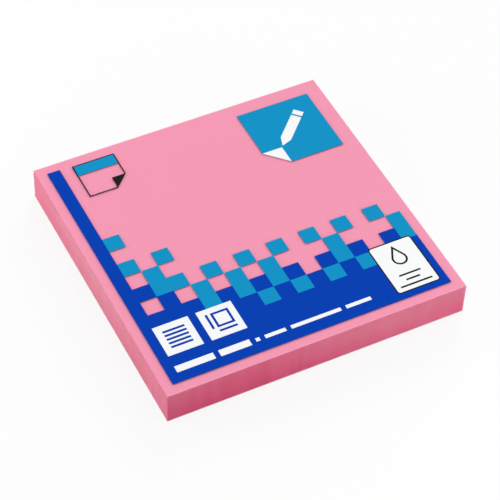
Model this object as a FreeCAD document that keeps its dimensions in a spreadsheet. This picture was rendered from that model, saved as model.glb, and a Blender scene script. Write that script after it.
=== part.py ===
import FreeCAD, Part
import math
import os
import Sketcher
from FreeCAD import Placement, Rotation, Vector

# A square pad of sticky notes in a tight clear film, with flat inks printed on the film's top.
# The front edge runs along X, the back lies towards +Y, and the pad rests on the plane Z = 0.
# The origin is the middle of the underside. All lengths are in millimetres.

SIZES = (
    # the pad of sheets
    ("pad_width", 75.0, "side of a sheet along X"),
    ("pad_depth", 75.0, "side of a sheet along Y"),
    ("sheet_count", 80, "sheets in the pad"),
    ("sheet_thickness", 0.107, "one sheet with its share of adhesive"),
    # the film
    ("film_thickness", 0.05, "wall of the clear film"),
    ("film_bend", 0.12, "inner radius of the film where it turns over an edge"),
    ("film_clearance", 0.03, "room between the film's bend and the paper's corner"),
    ("lap_width", 8.0, "overlap of the film's two ends under the pad"),
    # the printed area
    ("ink_thickness", 0.02, "thickness of the printed ink"),
    ("print_margin", 2.5, "bare film between the print and the pad's edges"),
    ("register_gap", 0.004, "hairline between two neighbouring tiles"),
    ("stem_width", 3.2, "solid field along the left edge"),
    ("band_height", 7.5, "solid field along the front edge"),
    # the tiles that fade out of the solid field
    ("tile_side", 4.2, "pitch of the square tiles"),
    ("fade_low", 5.2, "rows that the fade reaches far from the left edge"),
    ("fade_rise", 7.4, "further rows that it reaches beside the left edge"),
    ("fade_columns", 2.1, "columns over which that rise dies away"),
    # the two square panels with their pictograms
    ("panel_side", 8.75, "side of a square panel"),
    ("panel_left", 2.4, "first panel from the left edge of the print"),
    ("panel_pitch", 10.7, "step from one panel to the next"),
    ("stroke", 0.6, "line of the pictograms on the panels"),
    ("list_lines", 5, "lines in the first panel's pictogram"),
    ("list_width", 5.4, "length of those lines"),
    ("list_pitch", 1.15, "step between those lines"),
    ("frame_side", 4.4, "square in the second panel's pictogram"),
    ("ruler_gap", 0.7, "step from that square to the rules beside it"),
    # the line of word bars on the band
    ("words_left", 2.3, "first word bar from the left edge of the print"),
    ("words_middle", 3.5, "centre line of the word bars"),
    ("word_gap", 1.3, "space between two word bars"),
    ("bold_height", 1.8, "height of a bold word bar"),
    ("light_height", 1.0, "height of a light word bar"),
    # the upright panel at the right
    ("seal_width", 11.3, "width of the upright panel"),
    ("seal_height", 15.1, "height of the upright panel"),
    ("seal_inset", 1.6, "upright panel from the right and front edges of the print"),
    ("seal_corner", 0.9, "corner radius of the upright panel"),
    ("seal_line", 0.35, "outline of the upright panel"),
    ("drop_radius", 1.9, "round end of the drop"),
    ("drop_tip", 4.2, "tip of the drop above the centre of its round end"),
    ("drop_line", 0.5, "outline of the drop"),
    ("drop_height", 9.6, "centre of the drop above the panel's foot"),
    ("caption_height", 0.5, "height of the bars under the drop"),
    ("caption_pitch", 1.6, "step between those bars"),
    ("caption_low", 1.4, "lowest of those bars above the panel's foot"),
    # the note with a pencil at the back right
    ("badge_side", 19.25, "side of the printed note"),
    ("badge_inset", 1.4, "printed note from the right and back edges of the print"),
    ("badge_fold", 5.2, "turned-up corner of the printed note"),
    ("pencil_width", 2.6, "width of the pencil"),
    ("pencil_length", 8.2, "barrel of the pencil"),
    ("pencil_point", 2.6, "sharpened end of the pencil"),
    ("pencil_cap", 1.5, "eraser of the pencil"),
    ("pencil_gap", 0.5, "bare ring between the barrel and the eraser"),
    ("pencil_reach", 3.0, "pencil's sharp end past the middle of the turned-up corner, each way"),
    # the small note at the back left
    ("icon_side", 10.8, "side of the small note"),
    ("icon_left", 6.2, "small note from the left edge of the print"),
    ("icon_inset", 0.3, "small note from the back edge of the print"),
    ("icon_line", 0.3, "outline of the small note"),
    ("icon_strip", 3.1, "coloured strip along the small note's back edge"),
    ("icon_curl", 3.6, "turned-up corner of the small note"),
)

# Lengths of the word bars, from left to right. The first ones are bold.
BOLD_WORDS = (9.4, 7.6)
LIGHT_WORDS = (5.2, 12.6, 6.4)

# Lengths of the bars under the drop, from the lowest up.
CAPTION_BARS = (8.2, 3.6, 5.6)

# Order in which a four by four block of tiles fades away, first to last.
FADE_ORDER = (
    (0, 8, 2, 10),
    (12, 4, 14, 6),
    (3, 11, 1, 9),
    (15, 7, 13, 5),
)
# A tile is dark blue where the fade is stronger than the first line, and mid blue above the second.
DARK_FROM = 0.42
DARK_SLOPE = 0.42
MID_SLOPE = 0.78

doc = FreeCAD.newDocument("sticky_note_pad")
sheet = doc.addObject("Spreadsheet::Sheet", "Size")
for row, (alias, number, meaning) in enumerate(SIZES, start=1):
    sheet.set(f"A{row}", meaning)
    sheet.set(f"B{row}", str(number))
    sheet.setAlias(f"B{row}", alias)
doc.recompute()

# Sizes that follow from others. The paper's square corner lies in the film's bend, so the bend
# sets the room at the sides and over the top sheet.
PAD_HEIGHT = "Size.sheet_count * Size.sheet_thickness"
SIDE_ROOM = "(Size.film_bend * (1 - cos(45)) + Size.film_clearance)"
TOP_ROOM = "(Size.film_bend + Size.film_clearance)"
PRINT_WIDTH = "(Size.pad_width - 2 * Size.print_margin)"
PRINT_DEPTH = "(Size.pad_depth - 2 * Size.print_margin)"
BADGE_LEFT = f"{PRINT_WIDTH} - Size.badge_inset - Size.badge_side"
BADGE_FRONT = f"{PRINT_DEPTH} - Size.badge_inset - Size.badge_side"
SEAL_LEFT = f"{PRINT_WIDTH} - Size.seal_inset - Size.seal_width"

# Levels, from the ground up. The lap is the film's second layer, under its floor.
FILM_LEVEL = "Size.film_thickness"
PAD_LEVEL = f"{FILM_LEVEL} + Size.film_thickness"
INK_LEVEL = f"{PAD_LEVEL} + {PAD_HEIGHT} + {TOP_ROOM} + Size.film_thickness"


def value(expression):
    """Number that an expression in the sheet's names gives now."""
    return float(sheet.evalExpression(expression))


def place(item, x, y, level, turn=0.0):
    """Puts an object at three expressions, turned about Z by a plain angle."""
    item.Placement = Placement(Vector(value(x), value(y), value(level)), Rotation(Vector(0, 0, 1), turn))
    item.setExpression(".Placement.Base.x", x)
    item.setExpression(".Placement.Base.y", y)
    item.setExpression(".Placement.Base.z", level)


def from_print(left, front):
    """Turns distances from the print's left and front edges into X and Y."""
    x = f"-Size.pad_width / 2 + Size.print_margin + {left}"
    y = f"-Size.pad_depth / 2 + Size.print_margin + {front}"
    return x, y


def new_sketch(body, name):
    """Sketch on the body's own XY plane."""
    sketch = body.newObject("Sketcher::SketchObject", name)
    plane = next(item for item in body.Origin.OriginFeatures if item.Role == "XY_Plane")
    sketch.AttachmentSupport = [(plane, "")]
    sketch.MapMode = "FlatFace"
    return sketch


def hold(sketch, kind, line, expression):
    """Holds the start of a line at an expression from the sketch's origin."""
    rule = Sketcher.Constraint(kind, -1, 1, line, 1, value(expression))
    number = sketch.addConstraint(rule)
    sketch.setExpression(f"Constraints[{number}]", expression)


def draw_outline(sketch, corners):
    """Closed outline of straight edges, each corner held by its two expressions."""
    points = [Vector(value(x), value(y), 0) for x, y in corners]
    ends = points[1:] + points[:1]
    lines = [sketch.addGeometry(Part.LineSegment(start, end)) for start, end in zip(points, ends)]
    for line, following in zip(lines, lines[1:] + lines[:1]):
        sketch.addConstraint(Sketcher.Constraint("Coincident", line, 2, following, 1))
    for line, (x, y) in zip(lines, corners):
        hold(sketch, "DistanceX", line, x)
        hold(sketch, "DistanceY", line, y)


def draw_rectangle(sketch, width, depth):
    """Rectangle with one corner on the sketch's origin."""
    draw_outline(sketch, (("0", "0"), (width, "0"), (width, depth), ("0", depth)))


def pad_sketch(body, sketch, name, length):
    """Pad of a sketch, as long as an expression says."""
    pad = body.newObject("PartDesign::Pad", name)
    pad.Profile = sketch
    pad.setExpression("Length", length)
    sketch.Visibility = False
    return pad


def round_edges(body, base, name, radius, chosen):
    """Fillet on the edges of the base that the test chooses."""
    doc.recompute()
    edges = [f"Edge{n}" for n, edge in enumerate(base.Shape.Edges, start=1) if chosen(edge)]
    fillet = body.newObject("PartDesign::Fillet", name)
    fillet.Base = (base, edges)
    fillet.setExpression("Radius", radius)
    return fillet


def is_upright(edge):
    """Whether an edge runs along Z."""
    start, end = (vertex.Point for vertex in edge.Vertexes)
    return abs(start.z - end.z) > abs(start.x - end.x) + abs(start.y - end.y)


def block_body(name, width, depth, height):
    """Body of a rectangular block, with one corner on the body's origin."""
    body = doc.addObject("PartDesign::Body", name)
    sketch = new_sketch(body, f"{name}_outline")
    draw_rectangle(sketch, width, depth)
    return body, pad_sketch(body, sketch, f"{name}_pad", height)


def make_note_block():
    """All the sheets as one glued block with square corners."""
    body, _ = block_body("note_block", "Size.pad_width", "Size.pad_depth", PAD_HEIGHT)
    place(body, "-Size.pad_width / 2", "-Size.pad_depth / 2", PAD_LEVEL)
    return body


def wrap_volume(name, wall, level):
    """Space inside the film, or the film's outside where wall is its thickness.

    The four corners and the top edges share one bend, and the film is flat underneath.
    """
    width = f"Size.pad_width + 2 * ({SIDE_ROOM} + {wall})"
    depth = f"Size.pad_depth + 2 * ({SIDE_ROOM} + {wall})"
    body, block = block_body(name, width, depth, f"{PAD_HEIGHT} + {TOP_ROOM} + 2 * {wall}")
    place(body, f"-({width}) / 2", f"-({depth}) / 2", level)

    def is_bent(edge):
        top = block.Shape.BoundBox.ZMax - edge.BoundBox.ZMin
        return is_upright(edge) or top < value("Size.film_bend")

    round_edges(body, block, f"{name}_bends", f"Size.film_bend + {wall}", is_bent)
    return body


def add_lap(body):
    """Strip under the film's floor, where its two ends lie one over the other."""
    width = f"(Size.pad_width + 2 * {SIDE_ROOM})"
    middle = f"(Size.pad_depth / 2 + {SIDE_ROOM} + Size.film_thickness)"
    front = f"{middle} - Size.lap_width / 2"
    back = f"{middle} + Size.lap_width / 2"
    left = "Size.film_thickness"
    right = f"{left} + {width}"
    sketch = new_sketch(body, "lap_outline")
    draw_outline(sketch, ((left, front), (right, front), (right, back), (left, back)))
    lap = pad_sketch(body, sketch, "lap", "Size.film_thickness")
    lap.Reversed = True


def make_film_wrap():
    """Clear film round the pad, one closed wall with its lap underneath."""
    outside = wrap_volume("film_outside", "Size.film_thickness", FILM_LEVEL)
    add_lap(outside)
    inside = wrap_volume("film_inside", "0", PAD_LEVEL)
    return cut("film_wrap", outside, inside)


def cut(name, base, tool):
    """The base without the tool."""
    result = doc.addObject("Part::Cut", name)
    result.Base = base
    result.Tool = tool
    return result


def join(name, members):
    """Several prints as one object, fused where they meet."""
    result = doc.addObject("Part::MultiFuse", name)
    result.Shapes = members
    return result


def ink_box(name, left, front, width, depth):
    """Rectangular print, at distances from the print's left and front edges."""
    box = doc.addObject("Part::Box", name)
    box.setExpression("Length", width)
    box.setExpression("Width", depth)
    box.setExpression("Height", "Size.ink_thickness")
    place(box, *from_print(left, front), INK_LEVEL)
    return box


def ink_outline(name, left, front, corners, turn=0.0):
    """Print with straight edges, its corners measured from its own place."""
    body = doc.addObject("PartDesign::Body", name)
    sketch = new_sketch(body, f"{name}_outline")
    draw_outline(sketch, corners)
    pad_sketch(body, sketch, f"{name}_pad", "Size.ink_thickness")
    place(body, *from_print(left, front), INK_LEVEL, turn)
    return body


def fade_tiles():
    """Which square tiles are dark blue and which mid blue, as (column, row) pairs.

    The fade weakens row by row above the band, and reaches higher beside the left edge. Each tile
    compares it with its own place in the four by four order, so the colours thin out evenly.
    """
    side = value("Size.tile_side")
    columns = math.ceil((value(PRINT_WIDTH) - value("Size.stem_width")) / side)
    rows = math.floor((value(PRINT_DEPTH) - value("Size.band_height")) / side)
    block = len(FADE_ORDER)
    dark = []
    mid = []
    for column in range(columns):
        rise = math.exp(-column / value("Size.fade_columns"))
        reach = value("Size.fade_low") + value("Size.fade_rise") * rise
        for tile_row in range(rows):
            strength = 1 - (tile_row + 0.5) / reach
            turn = (FADE_ORDER[tile_row % block][column % block] + 0.5) / block**2
            if strength > DARK_FROM + DARK_SLOPE * turn:
                dark.append((column, tile_row))
            elif strength > MID_SLOPE * turn:
                mid.append((column, tile_row))
    return dark, mid


def tile_print(name, tiles):
    """Square tiles, cut off where they pass the print's right edge."""
    side = value("Size.tile_side")
    gap = value("Size.register_gap")
    thickness = value("Size.ink_thickness")
    squares = []
    for column, tile_row in tiles:
        left = value("Size.stem_width") + column * side
        right = min(left + side, value(PRINT_WIDTH))
        front = value("Size.band_height") + tile_row * side
        corner = Vector(left + gap / 2, front + gap / 2, 0)
        squares.append(Part.makeBox(right - left - gap, side - gap, thickness, corner))
    item = doc.addObject("Part::Feature", name)
    item.Shape = Part.makeCompound(squares)
    place(item, *from_print("0", "0"), INK_LEVEL)
    return item


def make_field():
    """Solid dark field: a stem up the left edge and a band along the front edge."""
    corners = (
        ("0", "0"),
        (PRINT_WIDTH, "0"),
        (PRINT_WIDTH, "Size.band_height"),
        ("Size.stem_width", "Size.band_height"),
        ("Size.stem_width", PRINT_DEPTH),
        ("0", PRINT_DEPTH),
    )
    return ink_outline("field", "0", "0", corners)


def make_panels():
    """Two square panels that stand on the band's edge."""
    return [
        ink_box(f"panel_{n + 1}", f"Size.panel_left + {n} * Size.panel_pitch", "Size.band_height",
                "Size.panel_side", "Size.panel_side")
        for n in range(2)
    ]


def make_list_pictogram():
    """Stack of short lines in the middle of the first panel."""
    left = "Size.panel_left + (Size.panel_side - Size.list_width) / 2"
    middle = "(Size.band_height + (Size.panel_side - Size.stroke) / 2)"
    lines = []
    for n in range(int(value("Size.list_lines"))):
        front = f"{middle} + ({n} - (Size.list_lines - 1) / 2) * Size.list_pitch"
        lines.append(ink_box(f"list_line_{n + 1}", left, front, "Size.list_width", "Size.stroke"))
    return lines


def make_size_pictogram():
    """Square outline in the second panel, with a rule along its left and front sides."""
    reach = "(Size.frame_side + Size.ruler_gap + Size.stroke)"
    left = f"(Size.panel_left + Size.panel_pitch + (Size.panel_side - {reach}) / 2)"
    front = f"(Size.band_height + (Size.panel_side - {reach}) / 2)"
    step = "Size.ruler_gap + Size.stroke"
    frame_left = f"{left} + {step}"
    frame_front = f"{front} + {step}"
    hollow = "(Size.frame_side - 2 * Size.stroke)"
    outer = ink_box("frame_outside", frame_left, frame_front, "Size.frame_side", "Size.frame_side")
    inner = ink_box("frame_inside", f"{frame_left} + Size.stroke", f"{frame_front} + Size.stroke",
                    hollow, hollow)
    return [
        cut("frame", outer, inner),
        ink_box("rule_left", left, frame_front, "Size.stroke", "Size.frame_side"),
        ink_box("rule_front", frame_left, front, "Size.frame_side", "Size.stroke"),
    ]


def make_word_bars():
    """Row of bars in the place of words: bold ones, a square bullet, then light ones."""
    bars = []
    left = "Size.words_left"
    bullet = "Size.light_height"
    words = [(f"{length}", "Size.bold_height") for length in BOLD_WORDS]
    words.append((bullet, bullet))
    words += [(f"{length}", "Size.light_height") for length in LIGHT_WORDS]
    for n, (length, height) in enumerate(words, start=1):
        front = f"Size.words_middle - {height} / 2"
        bars.append(ink_box(f"word_bar_{n}", left, front, length, height))
        left = f"{left} + {length} + Size.word_gap"
    return bars


def rounded_panel(name, inset):
    """Upright panel with round corners, drawn in from its full size by an expression."""
    width = f"(Size.seal_width - 2 * {inset})"
    height = f"(Size.seal_height - 2 * {inset})"
    body, block = block_body(name, width, height, "Size.ink_thickness")
    place(body, *from_print(f"{SEAL_LEFT} + {inset}", f"Size.seal_inset + {inset}"), INK_LEVEL)
    round_edges(body, block, f"{name}_corners", f"Size.seal_corner - {inset}", is_upright)
    return body


def drop_body(name, inset):
    """Drop with a round foot and a tip, its sides drawn in by an expression.

    The sides are tangent to the round foot, so drawing both in by one share keeps them parallel.
    """
    radius = f"(Size.drop_radius - {inset})"
    tip = f"(Size.drop_tip * {radius} / Size.drop_radius)"
    spread = math.acos(value(radius) / value(tip))
    start, end = math.pi / 2 + spread, math.pi * 5 / 2 - spread
    body = doc.addObject("PartDesign::Body", name)
    sketch = new_sketch(body, f"{name}_outline")
    circle = Part.Circle(Vector(0, 0, 0), Vector(0, 0, 1), value(radius))
    foot = sketch.addGeometry(Part.ArcOfCircle(circle, start, end))
    top = Vector(0, value(tip), 0)
    ends = [Vector(math.cos(a), math.sin(a), 0) * value(radius) for a in (start, end)]
    left = sketch.addGeometry(Part.LineSegment(top, ends[0]))
    right = sketch.addGeometry(Part.LineSegment(ends[1], top))
    sketch.addConstraint(Sketcher.Constraint("Coincident", foot, 3, -1, 1))
    sketch.addConstraint(Sketcher.Constraint("Tangent", left, 2, foot, 1))
    sketch.addConstraint(Sketcher.Constraint("Tangent", foot, 2, right, 1))
    sketch.addConstraint(Sketcher.Constraint("Coincident", right, 2, left, 1))
    sketch.addConstraint(Sketcher.Constraint("PointOnObject", left, 1, -2))
    hold(sketch, "DistanceY", left, tip)
    number = sketch.addConstraint(Sketcher.Constraint("Radius", foot, value(radius)))
    sketch.setExpression(f"Constraints[{number}]", radius)
    pad_sketch(body, sketch, f"{name}_pad", "Size.ink_thickness")
    middle = f"{SEAL_LEFT} + Size.seal_width / 2"
    place(body, *from_print(middle, "Size.seal_inset + Size.drop_height"), INK_LEVEL)
    return body


def make_seal_marks():
    """Drop outline with three bars below it, in the middle of the upright panel."""
    marks = [cut("drop", drop_body("drop_outside", "0"), drop_body("drop_inside", "Size.drop_line"))]
    for n, length in enumerate(CAPTION_BARS):
        left = f"{SEAL_LEFT} + (Size.seal_width - {length}) / 2"
        front = f"Size.seal_inset + Size.caption_low + {n} * Size.caption_pitch"
        marks.append(ink_box(f"caption_bar_{n + 1}", left, front, f"{length}", "Size.caption_height"))
    return marks


def make_badge():
    """Square note with its front left corner turned up: the note, and the turned-up corner."""
    side = "Size.badge_side"
    fold = "Size.badge_fold"
    left_open = ((fold, "0"), (side, "0"), (side, side), ("0", side), ("0", fold))
    note = ink_outline("badge", BADGE_LEFT, BADGE_FRONT, left_open)
    turned = ((fold, "0"), (fold, fold), ("0", fold))
    corner = ink_outline("badge_corner", BADGE_LEFT, BADGE_FRONT, turned)
    return note, corner


def make_pencil():
    """Pencil across the square note, its point towards the turned-up corner."""
    tip_left = f"{BADGE_LEFT} + Size.badge_fold / 2 + Size.pencil_reach"
    tip_front = f"{BADGE_FRONT} + Size.badge_fold / 2 + Size.pencil_reach"
    low = "-Size.pencil_width / 2"
    high = "Size.pencil_width / 2"
    point = "Size.pencil_point"
    barrel_end = f"{point} + Size.pencil_length"
    cap_start = f"{barrel_end} + Size.pencil_gap"
    cap_end = f"{cap_start} + Size.pencil_cap"
    barrel = ((low, point), ("0", "0"), (high, point), (high, barrel_end), (low, barrel_end))
    cap = ((low, cap_start), (high, cap_start), (high, cap_end), (low, cap_end))
    return [
        ink_outline("pencil_barrel", tip_left, tip_front, barrel, turn=-45.0),
        ink_outline("pencil_eraser", tip_left, tip_front, cap, turn=-45.0),
    ]


def make_icon():
    """Small note with a coloured strip: its whole shape, its black lines, and the strip."""
    left = "Size.icon_left"
    front = f"{PRINT_DEPTH} - Size.icon_inset - Size.icon_side"
    side = "Size.icon_side"
    curl = "Size.icon_curl"
    line = "Size.icon_line"
    far = f"{side} - {line}"
    # The cut corner's line is as wide as the others, measured square to it.
    lean = f"{line} * (1 / cos(45) - 1)"
    outer = (("0", "0"), (f"{side} - {curl}", "0"), (side, curl), (side, side), ("0", side))
    low_end = (f"{side} - {curl} - {lean}", line)
    high_end = (far, f"{curl} + {lean}")
    inner = ((line, line), low_end, high_end, (far, far), (line, far))
    turned = ((f"{side} - {curl}", "0"), (side, curl), (f"{side} - {curl}", curl))
    outside = ink_outline("icon_outside", left, front, outer)
    inside = ink_outline("icon_inside", left, front, inner)
    corner = ink_outline("icon_corner", left, front, turned)
    lines = join("icon", [cut("icon_ring", outside, inside), corner])
    strip_front = f"{front} + {far} - Size.icon_strip"
    strip_width = f"{side} - 2 * {line}"
    strip = ink_box("icon_strip", f"{left} + {line}", strip_front, strip_width, "Size.icon_strip")
    return outside, lines, strip


def make_prints():
    """The four inks. They lie side by side on the film, each left out where the next one shows."""
    dark_tiles, mid_tiles = fade_tiles()
    badge, badge_corner = make_badge()
    icon, icon_lines, strip = make_icon()
    emblems = join("emblems", [badge, icon])
    dark_ground = join("dark_ground", [make_field(), tile_print("dark_tiles", dark_tiles)])
    field = cut("field_round_emblems", dark_ground, emblems)
    tiles = cut("tiles_round_emblems", tile_print("mid_tiles", mid_tiles), emblems)
    ground = join("mid_ground", [tiles, badge, strip])

    seal_outside = rounded_panel("seal_outside", "0")
    seal_inside = rounded_panel("seal_inside", "Size.seal_line")
    seal_marks = make_seal_marks()
    pictograms = make_list_pictogram() + make_size_pictogram()
    panels = make_panels()
    marks = make_word_bars() + [badge_corner] + make_pencil()

    on_white = join("on_white", pictograms + seal_marks)
    on_blue = join("on_blue", panels + marks + [seal_outside])
    dark_around = cut("dark_around", field, on_blue)
    return [
        join("print_dark_blue", [dark_around] + pictograms),
        cut("print_mid_blue", ground, on_blue),
        cut("print_white", join("white_ground", panels + marks + [seal_inside]), on_white),
        join("print_black", [cut("seal_outline", seal_outside, seal_inside), icon_lines] + seal_marks),
    ]


def check_document():
    """Stops if any object failed to compute."""
    for item in doc.Objects:
        if "Invalid" in item.State or "Error" in item.State:
            raise RuntimeError(f"{item.Name} did not compute: {item.State}")


def write_parts(nodes):
    """Writes each sub-part under its label, once its shape is sound."""
    for node in nodes:
        if node.Shape.isNull() or not node.Shape.isValid() or not node.Shape.Solids:
            raise RuntimeError(f"{node.Label} has no valid solid")
    os.makedirs("parts", exist_ok=True)
    for node in nodes:
        node.Shape.exportStep(os.path.join("parts", f"{node.Label}.step"))
        box = node.Shape.BoundBox
        print(f"{node.Label}: {len(node.Shape.Solids)} solids, {node.Shape.Volume:.2f} mm3, "
              f"{box.XLength:.2f} x {box.YLength:.2f} x {box.ZLength:.2f} mm from Z {box.ZMin:.2f}")


nodes = [make_note_block(), make_film_wrap()] + make_prints()
doc.recompute()
check_document()
write_parts(nodes)
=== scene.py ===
"""Looks of a sticky note pad in a tight clear film: its cut paper edges, film, inks and studio.

Lengths in the dataclass fields are in millimetres, and MM turns them into metres.
"""

import logging
import math
from dataclasses import dataclass
from enum import Enum

import bmesh
import bpy
import numpy as np
from mathutils import Matrix, Vector


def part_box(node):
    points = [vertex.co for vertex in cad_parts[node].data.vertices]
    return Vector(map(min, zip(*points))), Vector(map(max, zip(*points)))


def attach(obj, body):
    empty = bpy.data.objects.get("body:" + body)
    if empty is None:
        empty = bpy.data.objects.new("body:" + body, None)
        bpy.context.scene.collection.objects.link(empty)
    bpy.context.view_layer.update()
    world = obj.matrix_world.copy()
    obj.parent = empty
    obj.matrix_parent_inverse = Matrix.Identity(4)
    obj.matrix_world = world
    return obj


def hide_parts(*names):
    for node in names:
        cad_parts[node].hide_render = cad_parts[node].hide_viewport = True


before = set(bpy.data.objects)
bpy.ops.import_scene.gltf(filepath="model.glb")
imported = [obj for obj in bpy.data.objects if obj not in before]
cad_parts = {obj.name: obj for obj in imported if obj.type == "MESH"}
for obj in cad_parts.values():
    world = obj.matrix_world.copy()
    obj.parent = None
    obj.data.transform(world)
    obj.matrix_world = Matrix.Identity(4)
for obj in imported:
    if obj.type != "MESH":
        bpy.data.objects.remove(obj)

MM = 0.001
ROOT = "root"
SQUARE_CORNERS = ((-1, -1), (1, -1), (1, 1), (-1, 1))
NO_STRETCH = (1.0, 1.0, 1.0)
LOG = logging.getLogger("note_pad")


class Side(Enum):
    """Which faces of the pad of sheets a finish is for."""

    FACE = 0
    CUT_EDGE = 1


def linear(hex_colour: str) -> tuple[float, float, float, float]:
    """Turns an sRGB colour into the linear one that the shaders take.

    Args:
        hex_colour: The colour as six hex digits after a hash mark.

    Returns:
        Linear red, green and blue, and an alpha of one.
    """
    parts = [int(hex_colour[place:place + 2], 16) / 255 for place in (1, 3, 5)]
    red, green, blue = (p / 12.92 if p <= 0.04045 else ((p + 0.055) / 1.055) ** 2.4 for p in parts)
    return red, green, blue, 1.0


def per_metre(size_mm: float) -> float:
    """Texture scale whose features are about this many millimetres wide."""
    return 1 / (size_mm * MM)


def add_node(tree: bpy.types.NodeTree, kind: str, links: dict | None = None,
             **settings: object) -> bpy.types.Node:
    """Adds one node with its settings and what feeds it.

    Args:
        tree: The node tree that gets the node.
        kind: Blender's type name of the node.
        links: For each input, by name or number, another node's output, or a plain value.
        **settings: Attributes of the node, such as operation or blend_type.

    Returns:
        The new node.
    """
    node = tree.nodes.new(kind)
    for name, setting in settings.items():
        setattr(node, name, setting)
    for name, source in (links or {}).items():
        if isinstance(source, bpy.types.NodeSocket):
            tree.links.new(source, node.inputs[name])
        else:
            node.inputs[name].default_value = source
    return node


def new_material(name: str) -> tuple[bpy.types.Material, bpy.types.NodeTree]:
    """Makes an empty material and returns it with its node tree."""
    material = bpy.data.materials.new(name)
    material.use_nodes = True
    material.node_tree.nodes.clear()
    return material, material.node_tree


def object_points(tree: bpy.types.NodeTree, stretch: tuple[float, float, float]) -> bpy.types.NodeSocket:
    """Object coordinates in metres, scaled along each axis.

    Args:
        tree: The node tree that reads the coordinates.
        stretch: Factor along X, Y and Z. A pattern is drawn out along an axis with a small one.

    Returns:
        The socket that gives the scaled point.
    """
    source = add_node(tree, "ShaderNodeTexCoord")
    mapped = add_node(tree, "ShaderNodeMapping", {"Vector": source.outputs["Object"], "Scale": stretch})
    return mapped.outputs["Vector"]


@dataclass(frozen=True)
class DyedPaper:
    """Uncoated wood-free paper, dyed in the mass and calendered: matt, with a faint fibre cloud."""

    # The eye gets an even, matt pink that only turns a touch deeper here and there. The clouds are as
    # wide as the flocs of real paper. A fibre is about 0.03 mm wide, far too fine to show, so the
    # fibre relief is drawn fifteen times as coarse.
    name: str = "dyed_note_paper"
    colour: str = "#F69BB6"
    cloud_colour: str = "#F497B2"
    cloud: float = 6.0
    fibre: float = 0.45
    fibre_depth: float = 0.004
    fibre_strength: float = 0.6
    roughness: float = 0.82
    gloss: float = 0.2

    def build(self) -> bpy.types.Material:
        """Makes the material: a cloudy dye, and a fine fibre relief.

        Returns:
            The finished material.
        """
        material, tree = new_material(self.name)
        points = object_points(tree, NO_STRETCH)
        cloud = add_node(tree, "ShaderNodeTexNoise",
                         {"Vector": points, "Scale": per_metre(self.cloud),
                          "Detail": 4.0, "Roughness": 0.6})
        fibre = add_node(tree, "ShaderNodeTexNoise",
                         {"Vector": points, "Scale": per_metre(self.fibre),
                          "Detail": 6.0, "Roughness": 0.7})
        blend = add_node(tree, "ShaderNodeMath", {0: cloud.outputs["Fac"], 1: fibre.outputs["Fac"]},
                         operation="MULTIPLY")
        colour = add_node(tree, "ShaderNodeMix",
                          {"Factor": blend.outputs[0], 6: linear(self.colour),
                           7: linear(self.cloud_colour)}, data_type="RGBA")
        bump = add_node(tree, "ShaderNodeBump",
                        {"Height": fibre.outputs["Fac"], "Distance": self.fibre_depth * MM,
                         "Strength": self.fibre_strength})
        shader = add_node(tree, "ShaderNodeBsdfPrincipled",
                          {"Base Color": colour.outputs[2], "Roughness": self.roughness,
                           "Specular IOR Level": self.gloss, "Normal": bump.outputs["Normal"]})
        add_node(tree, "ShaderNodeOutputMaterial", {"Surface": shader.outputs["BSDF"]})
        return material


@dataclass(frozen=True)
class CutPaperEdge:
    """Edge of the same paper after the guillotine: deeper in colour, layered, with soft knife streaks."""

    # The eye gets a deeper pink, because light is caught between the cut fibres, with level lines
    # and soft upright marks of the blade. One sheet is half a pixel thick in the photograph's frame,
    # so the layers are drawn twice as thick, and the blade's fine marks are drawn 1.6 mm wide.
    name: str = "guillotined_paper_edge"
    colour: str = "#E65E86"
    deep_colour: str = "#DE5079"
    layer: float = 0.107
    layer_coarser: float = 2.0
    layer_stretch: float = 0.02
    layer_share: float = 0.35
    streak: float = 1.6
    streak_length: float = 40.0
    spread: tuple[float, float] = (0.35, 0.65)
    roughness: float = 0.9
    gloss: float = 0.1

    def build(self) -> bpy.types.Material:
        """Makes the material: upright knife streaks over a stack of slightly uneven layers.

        Returns:
            The finished material.
        """
        material, tree = new_material(self.name)
        upright = object_points(tree, (1.0, 1.0, self.streak / self.streak_length))
        streak = add_node(tree, "ShaderNodeTexNoise",
                          {"Vector": upright, "Scale": per_metre(self.streak),
                           "Detail": 3.0, "Roughness": 0.55})
        flat = object_points(tree, (self.layer_stretch, self.layer_stretch, 1.0))
        layers = add_node(tree, "ShaderNodeTexNoise",
                          {"Vector": flat, "Scale": per_metre(self.layer * self.layer_coarser),
                          "Detail": 2.0, "Roughness": 0.5})
        blend = add_node(tree, "ShaderNodeMix",
                         {"Factor": self.layer_share, 2: streak.outputs["Fac"], 3: layers.outputs["Fac"]},
                         data_type="FLOAT")
        spread = add_node(tree, "ShaderNodeMapRange",
                          {"Value": blend.outputs[0], "From Min": self.spread[0],
                           "From Max": self.spread[1]})
        colour = add_node(tree, "ShaderNodeMix",
                          {"Factor": spread.outputs["Result"], 6: linear(self.colour),
                           7: linear(self.deep_colour)}, data_type="RGBA")
        shader = add_node(tree, "ShaderNodeBsdfPrincipled",
                          {"Base Color": colour.outputs[2], "Roughness": self.roughness,
                           "Specular IOR Level": self.gloss})
        add_node(tree, "ShaderNodeOutputMaterial", {"Surface": shader.outputs["BSDF"]})
        return material


@dataclass(frozen=True)
class PaintedSheenPatch:
    """Patch of painted sheen on the film's wall, a milky veil that stands in for brighter light there. It
    fades out over its reach.

    The share is the painted sheen at its middle. A height factor above one makes the patch flatter than
    wide.
    """

    middle: tuple[float, float, float]
    reach: float
    share: float
    height_factor: float = 1.0


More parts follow.
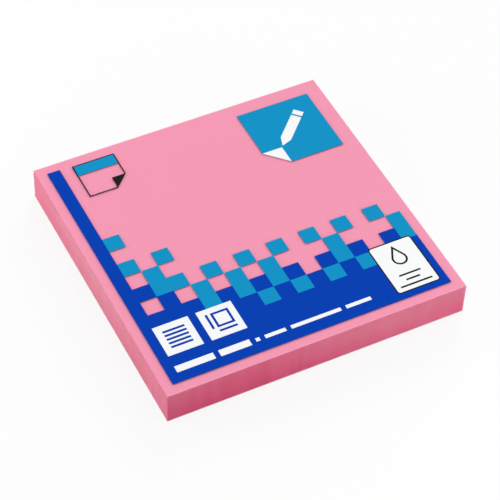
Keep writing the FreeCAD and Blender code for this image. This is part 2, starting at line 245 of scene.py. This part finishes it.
@dataclass(frozen=True)
class ClearFilm:
    """Biaxially drawn polypropylene film, shrunk tight: clear, with more gloss at grazing angles."""

    # The eye gets the paper behind it, hardly changed, a painted highlight line where the film bends over
    # an edge, and painted sheen on the walls, paler towards their top and in patches, which stands in for
    # brighter light there. The fine lines that drawing leaves in real film are too fine to show, so they
    # are drawn 2.2 mm wide.
    name: str = "clear_polypropylene_film"
    mirror_head_on: float = 0.01
    mirror_grazing: float = 0.7
    roughness: float = 0.2
    milky_colour: str = "#FAFBFF"
    milky_roughness: float = 0.6
    haze_all: float = 0.0
    # Painted sheen: the walls are made paler towards their top, between the heights in rise.
    painted_sheen_up: float = 0.042
    # Painted highlight: a pale line along every bend of the film.
    painted_bend_highlight: float = 0.2
    bend_normals: tuple[float, float] = (0.98, 0.75)
    wall_normals: tuple[float, float] = (0.1, 0.5)
    rise: tuple[float, float] = (2.0, 8.6)
    # Patches of painted sheen, standing in for brighter light on the pad's sides.
    sheen_patches: tuple[PaintedSheenPatch, ...] = (
        PaintedSheenPatch((37.5, -37.5, 8.0), 68.0, 0.13, 4.2),
        PaintedSheenPatch((-37.5, -34.0, 8.2), 16.0, 0.036),
        PaintedSheenPatch((-37.5, 3.0, 7.0), 36.0, 0.056),
        PaintedSheenPatch((-37.5, 12.0, 9.4), 70.0, 0.066, 14.0),
    )
    draw_line: float = 2.2
    draw_length: float = 60.0
    draw_depth: float = 0.003

    def build(self) -> bpy.types.Material:
        """Makes the material: clear, with painted sheen and an even haze in it, and gloss mixed in by
        angle.

        The share of gloss goes from mirror_head_on to mirror_grazing with (1 - cosine) ^ 5.

        Returns:
            The finished material.
        """
        material, tree = new_material(self.name)
        flat, wall = self.lie_of_surface(tree)
        bent = add_node(tree, "ShaderNodeMapRange", {"Value": flat, "From Min": self.bend_normals[0],
                                                     "From Max": self.bend_normals[1]})
        facing = add_node(tree, "ShaderNodeLayerWeight", {"Blend": 0.5})
        power = add_node(tree, "ShaderNodeMath", {0: facing.outputs["Facing"], 1: 5.0}, operation="POWER")
        share = add_node(tree, "ShaderNodeMapRange",
                         {"Value": power.outputs[0], "To Min": self.mirror_head_on,
                          "To Max": self.mirror_grazing})
        upright = object_points(tree, (1.0, 1.0, self.draw_line / self.draw_length))
        lines = add_node(tree, "ShaderNodeTexNoise",
                         {"Vector": upright, "Scale": per_metre(self.draw_line), "Detail": 2.0})
        calm = add_node(tree, "ShaderNodeMath", {0: 1.0, 1: bent.outputs["Result"]}, operation="SUBTRACT")
        bump = add_node(tree, "ShaderNodeBump",
                        {"Height": lines.outputs["Fac"], "Distance": self.draw_depth * MM,
                         "Strength": calm.outputs[0]})
        clear = add_node(tree, "ShaderNodeBsdfTransparent")
        gloss = add_node(tree, "ShaderNodeBsdfAnisotropic",
                         {"Roughness": self.roughness, "Normal": bump.outputs["Normal"]})
        milky = add_node(tree, "ShaderNodeBsdfAnisotropic",
                         {"Color": linear(self.milky_colour), "Roughness": self.milky_roughness})
        # The walls get their painted sheen, on top of the even haze.
        on_walls = add_node(tree, "ShaderNodeMath", {0: self.painted_sheen(tree), 1: wall, 2: self.haze_all},
                            operation="MULTIPLY_ADD")
        # The bends get a painted highlight line, mixed in as milky gloss.
        haze = add_node(tree, "ShaderNodeMath",
                        {0: bent.outputs["Result"], 1: self.painted_bend_highlight, 2: on_walls.outputs[0]},
                        operation="MULTIPLY_ADD")
        veiled = add_node(tree, "ShaderNodeMixShader",
                          {0: haze.outputs[0], 1: clear.outputs["BSDF"], 2: milky.outputs["BSDF"]})
        mixed = add_node(tree, "ShaderNodeMixShader",
                         {0: share.outputs["Result"], 1: veiled.outputs["Shader"],
                          2: gloss.outputs["BSDF"]})
        add_node(tree, "ShaderNodeOutputMaterial", {"Surface": mixed.outputs["Shader"]})
        return material

    def lie_of_surface(self, tree: bpy.types.NodeTree) -> tuple[bpy.types.NodeSocket, bpy.types.NodeSocket]:
        """How flat and how upright the film lies, from its normal without signs.

        Args:
            tree: The node tree of the material.

        Returns:
            The normal's largest part, which is one on a flat and less on a bend, and a share that
            is one on upright walls.
        """
        points = add_node(tree, "ShaderNodeTexCoord")
        plain = add_node(tree, "ShaderNodeVectorMath", {0: points.outputs["Normal"]}, operation="ABSOLUTE")
        parts = add_node(tree, "ShaderNodeSeparateXYZ", {0: plain.outputs["Vector"]}).outputs
        sideways = add_node(tree, "ShaderNodeMath", {0: parts["X"], 1: parts["Y"]}, operation="MAXIMUM")
        largest = add_node(tree, "ShaderNodeMath", {0: sideways.outputs[0], 1: parts["Z"]},
                           operation="MAXIMUM")
        wall = add_node(tree, "ShaderNodeMapRange",
                        {"Value": parts["Z"], "From Min": self.wall_normals[0],
                         "From Max": self.wall_normals[1], "To Min": 1.0, "To Max": 0.0})
        return largest.outputs[0], wall.outputs["Result"]

    def painted_sheen(self, tree: bpy.types.NodeTree) -> bpy.types.NodeSocket:
        """Share of painted sheen on the walls, which stands in for brighter light: it grows upwards, and in
        each patch.

        Args:
            tree: The node tree of the material.

        Returns:
            The socket that gives the share.
        """
        place = add_node(tree, "ShaderNodeSeparateXYZ", {0: object_points(tree, NO_STRETCH)})
        # Painted sheen, paler towards the top of the walls.
        haze = add_node(tree, "ShaderNodeMapRange",
                        {"Value": place.outputs["Z"], "From Min": self.rise[0] * MM,
                         "From Max": self.rise[1] * MM, "To Max": self.painted_sheen_up})
        total = haze.outputs["Result"]
        for patch in self.sheen_patches:
            squash = (1.0, 1.0, patch.height_factor)
            middle = tuple(m * MM * k for m, k in zip(patch.middle, squash))
            away = add_node(tree, "ShaderNodeVectorMath", {0: object_points(tree, squash), 1: middle},
                            operation="DISTANCE")
            share = add_node(tree, "ShaderNodeMapRange",
                             {"Value": away.outputs["Value"], "From Max": patch.reach * MM,
                              "To Min": patch.share, "To Max": 0.0}, interpolation_type="SMOOTHSTEP")
            total = add_node(tree, "ShaderNodeMath", {0: total, 1: share.outputs["Result"]},
                             operation="ADD").outputs[0]
        return total


@dataclass(frozen=True)
class PrintedInk:
    """Flexographic ink on film: opaque, with a faint satin sheen and the mottle of its lay-down."""

    # The eye gets a flat, even colour with hardly any shine. The mottle of such a print is about
    # 0.2 mm wide, too fine to show, so it is drawn four times as coarse.
    name: str
    colour: str
    mottle_colour: str
    mottle: float = 0.8
    roughness: float = 0.5
    gloss: float = 0.02

    def build(self) -> bpy.types.Material:
        """Makes the material: one ink colour with a fine mottle.

        Returns:
            The finished material.
        """
        material, tree = new_material(self.name)
        points = object_points(tree, NO_STRETCH)
        mottle = add_node(tree, "ShaderNodeTexNoise",
                          {"Vector": points, "Scale": per_metre(self.mottle),
                           "Detail": 5.0, "Roughness": 0.65})
        colour = add_node(tree, "ShaderNodeMix",
                          {"Factor": mottle.outputs["Fac"], 6: linear(self.colour),
                           7: linear(self.mottle_colour)}, data_type="RGBA")
        shader = add_node(tree, "ShaderNodeBsdfPrincipled",
                          {"Base Color": colour.outputs[2], "Roughness": self.roughness,
                           "Specular IOR Level": self.gloss})
        add_node(tree, "ShaderNodeOutputMaterial", {"Surface": shader.outputs["BSDF"]})
        return material


INKS = {
    "print_dark_blue": PrintedInk("dark_blue_flexo_ink", "#0840B1", "#083EAD"),
    "print_mid_blue": PrintedInk("mid_blue_flexo_ink", "#1492C6", "#148FC2"),
    "print_white": PrintedInk("white_flexo_ink", "#F7F8F9", "#F3F4F5"),
    "print_black": PrintedInk("black_flexo_ink", "#1E221D", "#1B1F1A"),
}


def ring_surface(name: str, rings: np.ndarray) -> bpy.types.Object:
    """Closed surface through a stack of rings, the first and the last of them drawn in to a point.

    The faces join each ring's points to the next ring's. A ring whose points all coincide is a pole,
    and merging its points closes the surface there.

    Args:
        name: Name of the piece.
        rings: Points in metres, as rings by points by three.

    Returns:
        The piece, with its faces outwards.
    """
    count, around = rings.shape[:2]
    low = np.arange((count - 1) * around).reshape(count - 1, around)
    right = np.roll(low, -1, axis=1)
    faces = np.stack([low, right, right + around, low + around], axis=-1).reshape(-1, 4)
    mesh = bpy.data.meshes.new(name)
    mesh.from_pydata(rings.reshape(-1, 3).tolist(), [], faces.tolist())
    work = bmesh.new()
    work.from_mesh(mesh)
    bmesh.ops.remove_doubles(work, verts=work.verts, dist=1e-7)
    bmesh.ops.recalc_face_normals(work, faces=work.faces)
    work.to_mesh(mesh)
    work.free()
    piece = bpy.data.objects.new(name, mesh)
    bpy.context.scene.collection.objects.link(piece)
    return piece


def square_loop(per_side: int) -> tuple[np.ndarray, np.ndarray]:
    """Points round a square with corners at one and minus one, anticlockwise from above.

    Args:
        per_side: Points on each side.

    Returns:
        The points, and each point's outward direction, which is a diagonal at the corners.
    """
    step = np.linspace(-1, 1, per_side, endpoint=False)
    ones = np.ones_like(step)
    points = np.concatenate([
        np.stack([step, -ones], -1), np.stack([ones, step], -1),
        np.stack([-step, ones], -1), np.stack([-ones, -step], -1),
    ])
    return points, np.where(np.isclose(np.abs(points), 1), np.sign(points), 0.0)


def drawn_in(ring: np.ndarray, shares: tuple[float, ...]) -> np.ndarray:
    """Copies of a ring at its own height, each with X and Y scaled by a share.

    Args:
        ring: Points in metres, as points by three.
        shares: What each copy keeps of the ring's width.

    Returns:
        The copies, as rings by points by three.
    """
    scale = np.ones((len(shares), 1, 3))
    scale[:, 0, :2] = np.array(shares)[:, None]
    return ring * scale


@dataclass
class SheetStack:
    """The pad of sheets, cut square by a guillotine, with every sheet's edge a little in or out.

    The edge of sheet n lies in from the block's side by a slow wave up the stack, a share of its
    own, and a slow wave along the side. A groove parts it from the next one.
    """

    sheets: int = 80
    per_side: int = 24
    groove: float = 0.012
    uneven: float = 0.012
    wave: float = 0.02
    wave_sheets: float = 31.0
    wander: float = 0.012
    edge_share: float = 0.22
    face_shares: tuple[float, ...] = (0.0, 0.4, 0.8)
    level_normal: float = 0.99
    seed: int = 7

    def edge_inset(self, rng: np.random.Generator) -> np.ndarray:
        """How far each sheet's edge lies in from the block's side.

        Args:
            rng: Source of the unevenness.

        Returns:
            Distances in millimetres, as sheets by points round the block.
        """
        number = np.arange(self.sheets)[:, None]
        around = np.linspace(0, 2 * math.pi, self.per_side * 4, endpoint=False)[None, :]
        stack_wave = self.wave * (1 + np.sin(2 * math.pi * number / self.wave_sheets + around)) / 2
        own = self.uneven * rng.random((self.sheets, 1))
        turns = rng.integers(2, 7, (self.sheets, 1))
        phase = rng.random((self.sheets, 1)) * 2 * math.pi
        along = self.wander * (1 + np.sin(turns * around + phase)) / 2
        return stack_wave + own + along

    def build(self) -> bpy.types.Object:
        """Makes the block from rings up its sides, with both faces drawn in to their middle.

        Returns:
            The piece, which stands for the plain block.
        """
        low, high = (np.array(corner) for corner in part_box("note_block"))
        centre = (low + high) / 2
        half = (high - low) / 2
        sheet = (high[2] - low[2]) / self.sheets
        inset = self.edge_inset(np.random.default_rng(self.seed)) * MM
        groove = np.maximum(inset[:-1], inset[1:]) + self.groove * MM
        rows = np.concatenate([inset[:1], np.repeat(inset, 2, axis=0), inset[-1:]])
        edge_levels = np.tile([self.edge_share, 1 - self.edge_share], self.sheets)
        edge_levels = np.repeat(np.arange(self.sheets), 2) + edge_levels
        levels = np.concatenate([[0], edge_levels, [self.sheets]])
        between = np.arange(1, self.sheets)
        order = np.argsort(np.concatenate([levels, between]), kind="stable")
        rows = np.concatenate([rows, groove])[order]
        levels = np.concatenate([levels, between])[order] * sheet + low[2]

        loop, outward = square_loop(self.per_side)
        flat = loop[None] * half[:2] - outward[None] * rows[..., None]
        heights = np.broadcast_to(levels[:, None, None], (*flat.shape[:2], 1))
        sides = np.concatenate([flat, heights], axis=-1)
        floor = drawn_in(sides[0], self.face_shares)
        lid = drawn_in(sides[-1], self.face_shares[::-1])
        rings = np.concatenate([floor, sides, lid])
        rings[..., :2] += centre[:2]
        piece = ring_surface("sheet_stack", rings)
        self.dress(piece)
        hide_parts("note_block")
        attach(piece, ROOT)
        return piece

    def dress(self, piece: bpy.types.Object) -> None:
        """Gives the faces of the block the paper, and its sides the cut edge.

        Args:
            piece: The block.
        """
        piece.data.materials.append(DyedPaper().build())
        piece.data.materials.append(CutPaperEdge().build())
        normals = np.zeros(len(piece.data.polygons) * 3, np.float32)
        piece.data.polygons.foreach_get("normal", normals)
        level = np.abs(normals.reshape(-1, 3)[:, 2]) > self.level_normal
        kinds = np.where(level, Side.FACE.value, Side.CUT_EDGE.value).astype(np.int32)
        piece.data.polygons.foreach_set("material_index", kinds)


@dataclass
class FilmWrap:
    """Clear film round the pad: level on top, bent over every edge, a little drawn in along its sides.

    The skin is the film's middle surface. Each ring is a square with rounded corners, drawn in and
    raised along a quarter circle where the film turns over the top edge. Between the corners the
    sides draw in by a parabola, and up the sides by half a sine wave, because the shrunk film is
    tightest in the middle.
    """

    wall: float = 0.05
    bend: float = 0.145
    bend_points: int = 11
    corner_points: int = 7
    least_corner: float = 0.02
    side_points: int = 50
    draw_in: float = 0.03
    wall_shares: tuple[float, ...] = (0.0, 0.04, 0.35, 0.7)
    floor_shares: tuple[float, ...] = (0.0, 0.5, 0.98)
    lid_shares: tuple[float, ...] = (0.996, 0.9, 0.45, 0.0)

    def loops(self, half: np.ndarray, radius: np.ndarray) -> np.ndarray:
        """Squares with rounded corners, one for each ring.

        A quarter of a square is a quarter circle round the corner's centre and a straight side up to
        the next corner. The other quarters are the same, turned, with the half sizes swapped.

        Args:
            half: Half sizes along X and Y in metres, as rings by two.
            radius: Radius of each ring's corners in metres.

        Returns:
            Points round the squares, as rings by points by two.
        """
        turn = np.linspace(0, math.pi / 2, self.corner_points)
        arc = np.stack([np.cos(turn), np.sin(turn)], -1)
        along = np.linspace(0, 1, self.side_points + 1)[1:-1, None]
        reach = np.stack([half, half[:, ::-1]] * 2, axis=1)[:, :, None]
        radius = radius[:, None, None, None]
        corner = reach - radius + arc * radius
        first = corner[:, :, -1:]
        last = np.concatenate([radius - reach[..., :1], reach[..., 1:]], axis=-1)
        quarters = np.concatenate([corner, first + (last - first) * along], axis=2)
        turned = np.stack([quarters[:, 0], quarters[:, 1, :, ::-1] * (-1, 1),
                           -quarters[:, 2], quarters[:, 3, :, ::-1] * (1, -1)], axis=1)
        return turned.reshape(len(half), -1, 2)

    def rings(self, low: np.ndarray, high: np.ndarray) -> np.ndarray:
        """Rings up the walls and over the bend.

        Args:
            low: Lowest corner of the film's box in metres.
            high: Highest corner of the film's box in metres.

        Returns:
            Points in metres, as rings by points by three.
        """
        wall = self.wall * MM
        # The lap is one wall thick and lies under the film's floor, whose middle is half a wall higher.
        floor = low[2] + 1.5 * wall
        top = high[2] - wall / 2
        bend = self.bend * MM
        turn = np.linspace(0, math.pi / 2, self.bend_points)
        inward = np.concatenate([np.zeros(len(self.wall_shares)), bend * (1 - np.cos(turn))])
        upright = floor + np.array(self.wall_shares) * (top - bend - floor)
        levels = np.concatenate([upright, top - bend + bend * np.sin(turn)])
        half = (high - low)[:2] / 2 - wall / 2
        flat = self.loops(half - inward[:, None], np.maximum(bend - inward, self.least_corner * MM))
        side = np.abs(flat / half)
        parabola = np.clip((1 - side ** 2).max(axis=2), 0, 1)
        rise = np.sin(math.pi * (levels - floor) / (top - floor))
        pull = self.draw_in * MM * rise[:, None] * parabola * (inward < bend)[:, None]
        outward = np.where(side >= side.max(axis=2, keepdims=True), np.sign(flat), 0)
        flat = flat - outward * pull[..., None]
        heights = np.broadcast_to(levels[:, None, None], (*flat.shape[:2], 1))
        return np.concatenate([flat, heights], axis=-1)

    def build(self) -> bpy.types.Object:
        """Makes the skin of the film.

        Returns:
            The piece, which stands for the film's wall.
        """
        rings = self.rings(*(np.array(corner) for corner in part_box("film_wrap")))
        floor = drawn_in(rings[0], self.floor_shares)
        lid = drawn_in(rings[-1], self.lid_shares)
        piece = ring_surface("film_skin", np.concatenate([floor, rings, lid]))
        piece.data.shade_smooth()
        piece.data.materials.append(ClearFilm().build())
        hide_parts("film_wrap")
        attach(piece, ROOT)
        return piece


@dataclass
class LapSeam:
    """Strip under the pad where the film's two ends overlap, closed and as thick as the film.

    Its section along X is flat with half-round long edges. Each edge wanders by a few hundredths of a
    millimetre as the sum of a slow wave and a quick one of half its height, because the film shrank
    after it was sealed.
    """

    wall: float = 0.05
    width: float = 8.0
    end_room: float = 0.05
    stations: int = 120
    edge_points: int = 5
    wander: float = 0.06
    slow_waves: tuple[int, int] = (3, 4)
    slow_starts: tuple[float, float] = (0.2, 0.6)
    quick_waves: tuple[int, int] = (8, 7)
    quick_height: float = 0.5
    haze: float = 0.04

    def build(self) -> bpy.types.Object:
        """Makes the strip from sections along X, with both ends drawn in to a point.

        Returns:
            The piece, which stands for the lap of the film's wall.
        """
        low, high = (np.array(corner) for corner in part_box("film_wrap"))
        radius = self.wall * MM / 2
        along = np.linspace(low[0] + self.end_room * MM, high[0] - self.end_room * MM, self.stations)
        share = np.linspace(0, 2 * math.pi, self.stations)
        slow, start, quick = (np.array(values)[:, None]
                              for values in (self.slow_waves, self.slow_starts, self.quick_waves))
        waves = np.sin(slow * share + 2 * math.pi * start) + self.quick_height * np.sin(quick * share)
        edge = self.width * MM / 2 - self.wander * MM * (1 + waves / (1 + self.quick_height)) / 2
        turn = np.linspace(-math.pi / 2, math.pi / 2, self.edge_points)
        side = np.array([1.0, -1.0])[:, None, None]
        across = side * (edge[..., None] - radius + radius * np.cos(turn))
        up = np.broadcast_to(radius + side * radius * np.sin(turn), across.shape)
        section = np.concatenate(np.stack([across, up], -1), axis=1)
        section[..., 0] += (low[1] + high[1]) / 2
        section[..., 1] += low[2]
        place = np.broadcast_to(along[:, None, None], (*section.shape[:2], 1))
        rings = np.concatenate([place, section], axis=-1)
        ends = [np.broadcast_to(rings[n].mean(axis=0), rings[n].shape)[None] for n in (0, -1)]
        piece = ring_surface("film_lap", np.concatenate([ends[0], rings, ends[1]]))
        finish = ClearFilm(name="heat_sealed_polypropylene_lap", haze_all=self.haze)
        piece.data.materials.append(finish.build())
        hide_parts("film_wrap")
        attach(piece, ROOT)
        return piece


@dataclass(frozen=True)
class Lamp:
    """Square lamp aimed at the pad, with its place and side in millimetres and its power in watts."""

    name: str
    place: tuple[float, float, float]
    side: float
    power: float

    def build(self) -> None:
        """Hangs the lamp. The film's gloss doesn't show it, because it would glare in some low view."""
        data = bpy.data.lights.new(self.name, "AREA")
        data.shape = "SQUARE"
        data.size = self.side * MM
        data.energy = self.power
        lamp = bpy.data.objects.new(self.name, data)
        position = Vector(self.place) * MM
        lamp.location = position
        lamp.rotation_euler = position.to_track_quat("Z", "Y").to_euler()
        lamp.visible_camera = False
        lamp.visible_glossy = False
        bpy.context.scene.collection.objects.link(lamp)


@dataclass
class Studio:
    """Plain pale floor, soft lamps and the camera at the photograph's angle.

    The camera's azimuth, elevation, roll, distance and lens come from the pad's seven visible
    corners in the photograph, with its top taken as 75 mm square.
    """

    azimuth: float = -28.468
    elevation: float = 48.002
    roll: float = 2.567
    distance: float = 493.18
    lens: float = 150.95
    sensor: float = 36.0
    aim_right: float = 1.332
    aim_up: float = 0.422
    aim_height: float = 0.16
    floor_side: float = 6000.0
    opening_side: float = 75.1
    floor_drop: float = 0.02
    floor_colour: str = "#F2F2F2"
    ambient: float = 0.475
    white_share: float = 0.87
    lamps: tuple[Lamp, ...] = (
        Lamp("key_lamp", (957, 957, 646), 900, 12.9),
        Lamp("top_lamp", (247, 54, 900), 400, 1.75),
        Lamp("left_lamp", (-307, 155, 95), 170, 0.56),
        Lamp("under_lamp", (0, 0, -600), 500, 1.5),
        Lamp("front_lamp", (100, -150, 42), 70, 0.0771),
    )

    def add_camera(self) -> None:
        """Camera that looks at the pad as the photograph does."""
        azimuth, elevation, roll = (math.radians(a) for a in (self.azimuth, self.elevation, self.roll))
        back = Vector((math.sin(azimuth) * math.cos(elevation), -math.cos(azimuth) * math.cos(elevation),
                       math.sin(elevation)))
        level = Vector((0, 0, 1)).cross(back).normalized()
        upright = back.cross(level)
        right = level * math.cos(roll) + upright * math.sin(roll)
        up = upright * math.cos(roll) - level * math.sin(roll)
        aim = right * self.aim_right + up * self.aim_up + Vector((0, 0, self.aim_height))
        place = (aim + back * self.distance) * MM
        data = bpy.data.cameras.new("photo_camera")
        data.lens = self.lens
        data.sensor_width = self.sensor
        data.clip_start = 0.01
        camera = bpy.data.objects.new("photo_camera", data)
        camera.matrix_world = Matrix.Translation(place) @ Matrix((right, up, back)).transposed().to_4x4()
        bpy.context.scene.collection.objects.link(camera)
        bpy.context.scene.camera = camera

    def seen_directly(self, tree: bpy.types.NodeTree) -> bpy.types.NodeSocket:
        """One for rays from the camera, and for those that reach it by gloss or through glass."""
        path = add_node(tree, "ShaderNodeLightPath")
        either = add_node(tree, "ShaderNodeMath",
                          {0: path.outputs["Is Camera Ray"], 1: path.outputs["Is Glossy Ray"]},
                          operation="MAXIMUM")
        any_of = add_node(tree, "ShaderNodeMath",
                          {0: either.outputs[0], 1: path.outputs["Is Transmission Ray"]},
                          operation="MAXIMUM")
        return any_of.outputs[0]

    def add_world(self) -> None:
        """White surroundings that light the pad evenly and at a lower level than they show."""
        world = bpy.data.worlds.new("studio_world")
        world.use_nodes = True
        tree = world.node_tree
        tree.nodes.clear()
        shown = add_node(tree, "ShaderNodeBackground", {"Color": (1, 1, 1, 1), "Strength": 1.0})
        lit = add_node(tree, "ShaderNodeBackground", {"Color": (1, 1, 1, 1), "Strength": self.ambient})
        mixed = add_node(tree, "ShaderNodeMixShader",
                         {0: self.seen_directly(tree), 1: lit.outputs[0], 2: shown.outputs[0]})
        add_node(tree, "ShaderNodeOutputWorld", {"Surface": mixed.outputs[0]})
        bpy.context.scene.world = world

    def add_floor(self) -> None:
        """Pale floor that keeps the pad's shadow. It can't be seen from below, and is open at the pad."""
        level = -self.floor_drop * MM
        mesh = bpy.data.meshes.new("floor")
        corners = [(x * side * MM / 2, y * side * MM / 2, level)
                   for side in (self.floor_side, self.opening_side) for x, y in SQUARE_CORNERS]
        faces = [(n, (n + 1) % 4, (n + 1) % 4 + 4, n + 4) for n in range(4)]
        mesh.from_pydata(corners, [], faces)
        floor = bpy.data.objects.new("floor", mesh)
        bpy.context.scene.collection.objects.link(floor)
        material, tree = new_material("studio_floor")
        matt = add_node(tree, "ShaderNodeBsdfDiffuse", {"Color": linear(self.floor_colour)})
        white = add_node(tree, "ShaderNodeEmission", {"Color": (1, 1, 1, 1), "Strength": 1.0})
        share = add_node(tree, "ShaderNodeMath", {0: self.seen_directly(tree), 1: self.white_share},
                         operation="MULTIPLY")
        pale = add_node(tree, "ShaderNodeMixShader",
                        {0: share.outputs[0], 1: matt.outputs[0], 2: white.outputs[0]})
        clear = add_node(tree, "ShaderNodeBsdfTransparent")
        side = add_node(tree, "ShaderNodeNewGeometry")
        one_sided = add_node(tree, "ShaderNodeMixShader",
                             {0: side.outputs["Backfacing"], 1: pale.outputs[0], 2: clear.outputs[0]})
        add_node(tree, "ShaderNodeOutputMaterial", {"Surface": one_sided.outputs[0]})
        mesh.materials.append(material)

    def build(self) -> None:
        """Sets the stage: floor, world, lamps and camera."""
        self.add_floor()
        self.add_world()
        for lamp in self.lamps:
            lamp.build()
        self.add_camera()


def dress_prints() -> None:
    """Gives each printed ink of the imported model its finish."""
    for node, ink in INKS.items():
        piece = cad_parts[node]
        piece.data.materials.clear()
        piece.data.materials.append(ink.build())
        LOG.info("%s has the finish %s", node, ink.name)


def main() -> None:
    """Builds the pad's pieces and the studio, and logs how many faces each new piece has."""
    logging.basicConfig(level=logging.INFO, format="%(name)s: %(message)s")
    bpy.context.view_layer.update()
    bpy.context.scene.view_settings.view_transform = "Standard"
    for maker in (SheetStack(), FilmWrap(), LapSeam()):
        piece = maker.build()
        LOG.info("%s has %d faces", piece.name, len(piece.data.polygons))
    dress_prints()
    Studio().build()


if __name__ == "__main__":
    main()
